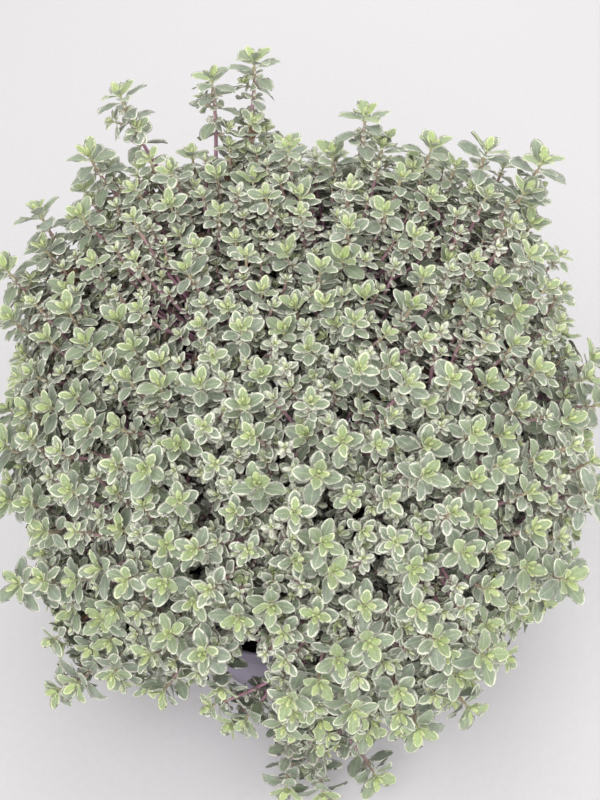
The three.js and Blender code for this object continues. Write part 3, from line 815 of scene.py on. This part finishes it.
def stem_mesh(name, stems):
    """Every stem as its own closed tube, with how far along, how far round and how old it is."""
    vertices, places, corners, counts = [], [], [], []
    total = 0
    for line, radii, age in stems:
        forward, sides = carried_down(line, unit(FIRST_CORNER))
        across = np.cross(forward, sides)
        along = np.append(0, np.linalg.norm(np.diff(line, axis=0), axis=1).cumsum())
        for k in range(STEM_SIDES):
            angle = 2 * math.pi * k / STEM_SIDES
            edge = line + (sides * math.cos(angle) + across * math.sin(angle)) * radii[:, None]
            vertices.append(edge)
            places.append(np.stack([along, radii * angle, age], axis=1))
        n = len(line)
        for k in range(STEM_SIDES):
            a = total + k * n + np.arange(n - 1)
            b = total + (k + 1) % STEM_SIDES * n + np.arange(n - 1)
            corners.append(np.stack([a, b, b + 1, a + 1], axis=1).ravel())
            counts.append(np.full(n - 1, 4))
        ends = total + np.arange(STEM_SIDES) * n
        corners += [ends[::-1], ends + n - 1]
        counts.append(np.full(2, STEM_SIDES))
        total += STEM_SIDES * n
    return closed_mesh(name, np.vstack(vertices), np.concatenate(corners), np.concatenate(counts),
                       {"stem_place": np.vstack(places)})


def stem_skin():
    """Living stem: green-pink at the tip, pink-purple down to where it turns to brown bark with
    ribs 0.3 mm apart. Its down makes it matt and a little pale at the edges."""
    material = new_material("thyme_stem_bark")
    node = partial(add, material)
    place = node("Attribute", output="Vector", attribute_name="stem_place")
    age = node("MapRange", [node("SeparateXYZ", [place], output="Z"), 0.0, 150.0])
    stretched = node("VectorMath", [place, (0.25, 2.2, 0.05)], operation="MULTIPLY")
    ribs = node("TexNoise", {"Vector": stretched, "Scale": 1.6, "Detail": 5.0, "Roughness": 0.6})
    skin = node("ValToRGB", [age], stops=[
        (0.0, "#bcc08e"), (0.04, "#bda690"), (0.1, "#ba8c9d"), (0.3, "#a87491"),
        (0.48, "#90697c"), (0.62, "#7b645d"), (1.0, "#6f5d52")])
    paler = node("Mix", [0.5, skin, linear("#b9a59a")], **COLOURS)
    streaks = node("ValToRGB", [ribs], stops=[(0.35, "#2a2a2a"), (0.75, "#b0b0b0")])
    colour = node("Mix", [streaks, skin, paler], **COLOURS)
    rough = node("MapRange", [age, 0.0, 1.0, 0.5, 0.85])
    finish_surface(material, (ribs, 0.6, 0.25), {
        "Base Color": colour, "Roughness": rough, "Sheen Weight": 0.25, "Sheen Roughness": 0.5})
    return material


# ---- Leaves ----
# Small ovate leaves, a third of a millimetre thick, grey-green and downy with an uneven cream
# margin. Young ones are yellow-green and half folded; old ones droop, and turn pinkish at the
# edge or dry to brown. Each joins its stem by a short pale stalk.
PETIOLE_SHARE = 0.08  # of the leaf's length
PETIOLE_WIDTH = 0.12  # of the leaf's width, and so is its tip's
LEAF_THICKNESS = 0.34
RIM_WAVE = 0.1
HIDDEN_AGE = 0.8  # leaves older than this are deep in the bush, and get a plainer grid
LEAF_GRIDS = [  # least length in mm, places along the blade, places across its upper face
    (6.8, (0.0, 0.1, 0.3, 0.55, 0.8, 0.94), (-1, -0.62, 0, 0.62, 1)),
    (5.0, (0.0, 0.16, 0.5, 0.87), (-1, 0, 1)),
    (0.0, (0.28, 0.8), (-1, 0, 1)),
]
SMOOTH = {"interpolation_type": "SMOOTHSTEP"}
TIMES, PLUS, MINUS = ({"operation": name} for name in ("MULTIPLY", "ADD", "SUBTRACT"))


def blade_width(t):
    """Half the blade's width along it, as a share of its widest half."""
    return math.sin(math.pi * t ** 1.02) ** (0.8 - 0.3 * t) if t > 0 else 1.2 * PETIOLE_WIDTH


def leaf_pattern(rows, columns):
    """The grid of a leaf: for each point how far along (0 to 1), how far across (-1 to 1), which
    face (1 upper, -1 under, 0 rim) and half the width there; then the faces."""
    along = [0.0] + [PETIOLE_SHARE + (1 - PETIOLE_SHARE) * t for t in rows] + [1.0]
    half = [PETIOLE_WIDTH] + [float(blade_width(t)) for t in rows] + [PETIOLE_WIDTH]
    loop = [(v, 0 if abs(v) == 1 else 1) for v in columns] + [(0, -1)]
    points = [(u, v, face, w) for u, w in zip(along, half) for v, face in loop]
    n, m = len(along), len(loop)
    faces = [(i * m + k, i * m + (k + 1) % m, (i + 1) * m + (k + 1) % m, (i + 1) * m + k)
             for i in range(n - 1) for k in range(m)]
    faces = [face[::-1] for face in faces]
    faces += [tuple(range(m)), tuple(range(n * m - 1, (n - 1) * m - 1, -1))]
    return np.array(points), faces


def leaf_arrays(leaves, rows, columns):
    """Every leaf as its own closed blade: bent along its length, folded up from its rib."""
    points, faces = leaf_pattern(rows, columns)
    along, across, face, half = points.T
    root, heading, up = leaves[:, 0:3], leaves[:, 3:6], leaves[:, 6:9]
    length, width, bend, fold, age, tone = (leaves[:, i:i + 1] for i in range(9, 15))
    aside = np.cross(up, heading)
    wide = 0.5 * length * width
    turn = bend * along + 1e-6
    run = length * along * np.sin(turn) / turn
    drop = length * along * (1 - np.cos(turn)) / turn
    open_up = np.clip((along - PETIOLE_SHARE) / 0.2, 0, 1)
    lean = fold * open_up * np.abs(across) ** 1.3
    rise = half * wide * np.sin(lean) * 1.2
    out = half * wide * across * np.cos(lean)
    wave = RIM_WAVE * wide * np.sin(along * 9 + tone * 40) * np.abs(across) ** 3 * open_up
    thick = LEAF_THICKNESS / 2 * face * (1 - across ** 2) * np.minimum(1, half * 2.5 + 0.35)
    height = rise + wave + thick * np.minimum(1, 0.5 + length / 12)
    normal_x, normal_z = np.sin(turn), np.cos(turn)
    x = run + height * normal_x
    z = -drop + height * normal_z
    vertices = (root[:, None] + heading[:, None] * x[..., None] + aside[:, None] * out[..., None]
                + up[:, None] * z[..., None]).reshape(-1, 3)
    ones = np.ones_like(x)
    place = np.stack([length * along, np.abs(across) * half * wide,
                      (1 - np.abs(across)) * half * wide], axis=-1).reshape(-1, 3)
    kind = np.stack([age * ones, tone * ones, face * ones], axis=-1).reshape(-1, 3)
    counts = np.array([len(f) for f in faces])
    flat = np.concatenate([np.array(f) for f in faces])
    corners = (np.arange(len(leaves))[:, None] * len(points) + flat).ravel()
    return vertices, place, kind, corners, np.tile(counts, len(leaves))


def leaves_mesh(name, leaves, hidden):
    """One mesh of many leaves: the larger a leaf is, the finer its grid."""
    leaves = np.array(leaves)
    grid = np.select([leaves[:, 9] >= least for least, _, _ in LEAF_GRIDS], range(len(LEAF_GRIDS)))
    grid = np.where(hidden | (leaves[:, 13] > HIDDEN_AGE), np.maximum(grid, 1), grid)
    groups, start = [], 0
    for i, (_, rows, columns) in enumerate(LEAF_GRIDS):
        group = leaf_arrays(leaves[grid == i], rows, columns)
        groups.append((*group[:3], group[3] + start, group[4]))
        start += len(group[0])
    vertices, place, kind, corners, counts = (np.concatenate(parts) for parts in zip(*groups))
    return closed_mesh(name, vertices, corners, counts, {"leaf_place": place, "leaf_kind": kind})


def leaf_skin():
    """Variegated thyme leaf: a downy matt skin that looks greyed over its green, an uneven
    cream margin, a pale rib, and a paler, greyer underside. Its hairs are too fine to show, so
    the down is drawn as grains of 0.16 mm. Places on a leaf are in millimetres."""
    material = new_material("variegated_thyme_leaf")
    node = partial(add, material)
    place = node("Attribute", output="Vector", attribute_name="leaf_place")
    kind = node("Attribute", output="Vector", attribute_name="leaf_kind")
    along, aside, inset = node("SeparateXYZ", [place]).node.outputs
    age, tone, side = node("SeparateXYZ", [kind]).node.outputs
    spot = node("TexCoord", output="Object")
    blotch = node("TexNoise", {"Vector": spot, "Scale": 1 / (3.2 * MM), "Detail": 3.0})
    mottle = node("TexNoise", {"Vector": spot, "Scale": 1 / (0.9 * MM), "Detail": 4.0,
                               "Distortion": 0.8})
    down = node("TexNoise", {"Vector": spot, "Scale": 1 / (0.16 * MM), "Detail": 2.0})

    # the upper face: green, greyed by its bloom, darker in the middle and fresher at its foot
    blade = node("ValToRGB", [age], stops=[
        (0.0, "#c0d282"), (0.1, "#b3c686"), (0.2, "#a6b48a"), (0.34, "#939f88"), (0.6, "#838e7e"),
        (1.0, "#8d8470")])
    spots = node("MapRange", [mottle, 0.35, 0.65, 0.0, 0.4], **SMOOTH)
    skin = node("Mix", [spots, blade, linear("#707f64")], **COLOURS)
    patches = node("MapRange", [blotch, 0.38, 0.66, 0.2, 0.8], **SMOOTH)
    ripeness = node("MapRange", [age, 0.1, 0.45, 0.15, 1.0], **SMOOTH)
    greyness = node("MapRange", [tone, 0.1, 0.9, 1.0, 0.5], **SMOOTH)
    bloom = node("Math", [node("Math", [patches, ripeness], **TIMES), greyness], **TIMES)
    skin = node("Mix", [bloom, skin, linear("#c0c4b8")], **COLOURS)
    greener = node("MapRange", [tone, 0.4, 0.95, 0.0, 0.3], **SMOOTH)
    skin = node("Mix", [greener, skin, linear("#aebc87")], **COLOURS)
    centre = node("MapRange", [inset, 0.8, 2.0], **SMOOTH)
    depth = node("MapRange", [age, 0.05, 0.35, 0.1, 0.42], **SMOOTH)
    skin = node("Mix", [node("Math", [centre, depth], **TIMES), skin, linear("#758570")], **COLOURS)
    youth = node("MapRange", [age, 0.1, 0.4, 0.7, 0.0], **SMOOTH)
    foot = node("MapRange", [along, 1.0, 5.5, 1.0, 0.0], **SMOOTH)
    skin = node("Mix", [node("Math", [youth, foot], **TIMES), skin, linear("#bbd082")], **COLOURS)
    rib = node("MapRange", [aside, 0.1, 0.32, 0.45, 0.0], **SMOOTH)
    above = node("MapRange", [side, 0.0, 0.5], **SMOOTH)
    skin = node("Mix", [node("Math", [rib, above], **TIMES), skin, linear("#bfcba6")], **COLOURS)

    # the margin, on both faces: as wide as the blotches and the leaf's tone make it
    width = node("Math", [node("Math", [blotch, 1.2], **TIMES),
                          node("MapRange", [tone, 0.0, 1.0, 0.36, 0.02], **SMOOTH)], **PLUS)
    waves = node("Math", [node("Math", [mottle, 0.5], **MINUS), 1.4], **TIMES)
    within = node("Math", [inset, node("Math", [width, waves], **PLUS)], **MINUS)
    cream = node("MapRange", [within, -0.12, 0.22, 1.0, 0.0], **SMOOTH)
    margin = node("ValToRGB", [age], stops=[
        (0.0, "#dbe2a8"), (0.14, "#e2e7c0"), (0.3, "#ecedda"), (0.6, "#edecde"), (0.85, "#e3d8cd"),
        (1.0, "#cfbfb4")])
    upper = node("Mix", [node("Math", [cream, 0.95], **TIMES), skin, margin], **COLOURS)
    old = node("MapRange", [age, 0.3, 1.0, 0.15, 0.6], **SMOOTH)
    under = node("Mix", [old, linear("#a3ad9c"), linear("#978389")], **COLOURS)
    under = node("Mix", [node("Math", [cream, 0.6], **TIMES), under, margin], **COLOURS)
    below = node("MapRange", [side, -0.35, 0.1, 1.0, 0.0], **SMOOTH)
    colour = node("Mix", [below, upper, under], **COLOURS)

    # the stalk, and the leaves that have dried
    woody = node("MapRange", [age, 0.15, 0.5], **SMOOTH)
    stalk = node("Mix", [woody, linear("#bccb8a"), linear("#b7a08d")], **COLOURS)
    colour = node("Mix", [node("MapRange", [along, 0.7, 1.5, 0.8, 0.0], **SMOOTH), colour, stalk],
                  **COLOURS)
    dry = node("ValToRGB", [mottle], stops=[(0.3, "#6b4f3b"), (0.6, "#96775a"), (0.8, "#b79a78")])
    colour = node("Mix", [node("MapRange", [age, 1.05, 1.2], **SMOOTH), colour, dry], **COLOURS)

    # side veins every 1.5 mm, raised a little, under the down
    rough = node("MapRange", [down, 0.3, 0.7, 0.5, 0.68], **SMOOTH)
    slant = node("Math", [node("Math", [along, aside], **MINUS), 2 * math.pi / 1.5], **TIMES)
    veins = node("Math", [node("Math", [slant], operation="SINE"), 0.35], **TIMES)
    relief = node("Math", [veins, down], **PLUS)
    finish_surface(material, (relief, 0.35, 0.12), {
        "Base Color": colour, "Roughness": rough, "IOR": 1.42, "Sheen Weight": 0.3,
        "Sheen Roughness": 0.45})
    return material


bark, leaf = stem_skin(), leaf_skin()
for number, spray in enumerate(sprays, 1):
    node = f"leafy_stem_{number:02d}"
    growth = grow(spray, np.random.default_rng(LEAF_SEED + number))
    pieces = [(as_object(f"{node}_stems", stem_mesh(f"{node}_stems", growth.stems), bark), "stem")]
    for part, leaves in growth.leaves.items():
        mesh = leaves_mesh(f"{node}_{part}", leaves, part == "inner_leaves")
        pieces.append((as_object(f"{node}_{part}", mesh, leaf), "leaf"))
    for piece, slot in pieces:
        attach(piece, "root")
        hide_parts(node)


# ---- Where it stands ----
# A pale matt table top under soft light from all round, brightest from the front left, seen
# from high in front as the plant is in its photograph.
TABLE_REACH = 6.0  # metres
LAMPS = [  # name, place in metres, size in metres, watts
    ("key", (-0.4, -0.6, 1.5), 1.1, 12.6), ("fill", (1.1, -0.3, 0.9), 1.2, 6.5),
    ("front", (0.0, -1.3, 0.75), 0.9, 4.5), ("back", (0.1, 1.3, 1.0), 0.9, 8),
]
LAMP_AIM = (0.01, 0.03, 0.15)
ROOM_WHITE = "#eeeeec"
ROOM_LIGHT = 0.71
CAMERA_PLACE = (10, -215, 513)
CAMERA_DOWN = 53.5  # degrees
LENS = 39.8
SENSOR = 36


def make_stage():
    top = bpy.data.meshes.new("table_top")
    corners = [(x * TABLE_REACH, y * TABLE_REACH, 0) for x, y in ((-1, -1), (1, -1), (1, 1), (-1, 1))]
    top.from_pydata(corners, [], [(0, 1, 2, 3)])
    matt = new_material("pale_matt_board")
    place = add(matt, "TexCoord", output="Object")
    tooth = add(matt, "TexNoise", {"Vector": place, "Scale": 1 / (4 * MM), "Detail": 4.0})
    paint = add(matt, "ValToRGB", [tooth], stops=[(0.3, "#d2d0d2"), (0.7, "#d5d3d5")])
    surface = add(matt, "BsdfPrincipled", {"Base Color": paint, "Roughness": 0.8})
    add(matt, "OutputMaterial", [surface])
    as_object("table_top", top, matt)

    for name, place, size, power in LAMPS:
        lamp = bpy.data.lights.new(name, "AREA")
        lamp.size = size
        lamp.energy = power
        made = bpy.data.objects.new(name, lamp)
        made.location = place
        aim = Vector(LAMP_AIM) - Vector(place)
        made.rotation_euler = aim.to_track_quat("-Z", "Y").to_euler()
        bpy.context.scene.collection.objects.link(made)
    world = bpy.data.worlds.new("soft_room")
    world.use_nodes = True
    world.node_tree.nodes["Background"].inputs[0].default_value = linear(ROOM_WHITE)
    world.node_tree.nodes["Background"].inputs[1].default_value = ROOM_LIGHT
    bpy.context.scene.world = world
    bpy.context.scene.view_settings.view_transform = "Standard"

    camera = bpy.data.cameras.new("camera")
    camera.lens = LENS
    camera.sensor_width = SENSOR
    made = bpy.data.objects.new("camera", camera)
    made.location = [v * MM for v in CAMERA_PLACE]
    made.rotation_euler = (math.radians(90 - CAMERA_DOWN), 0, 0)
    bpy.context.scene.collection.objects.link(made)
    bpy.context.scene.camera = made


make_stage()
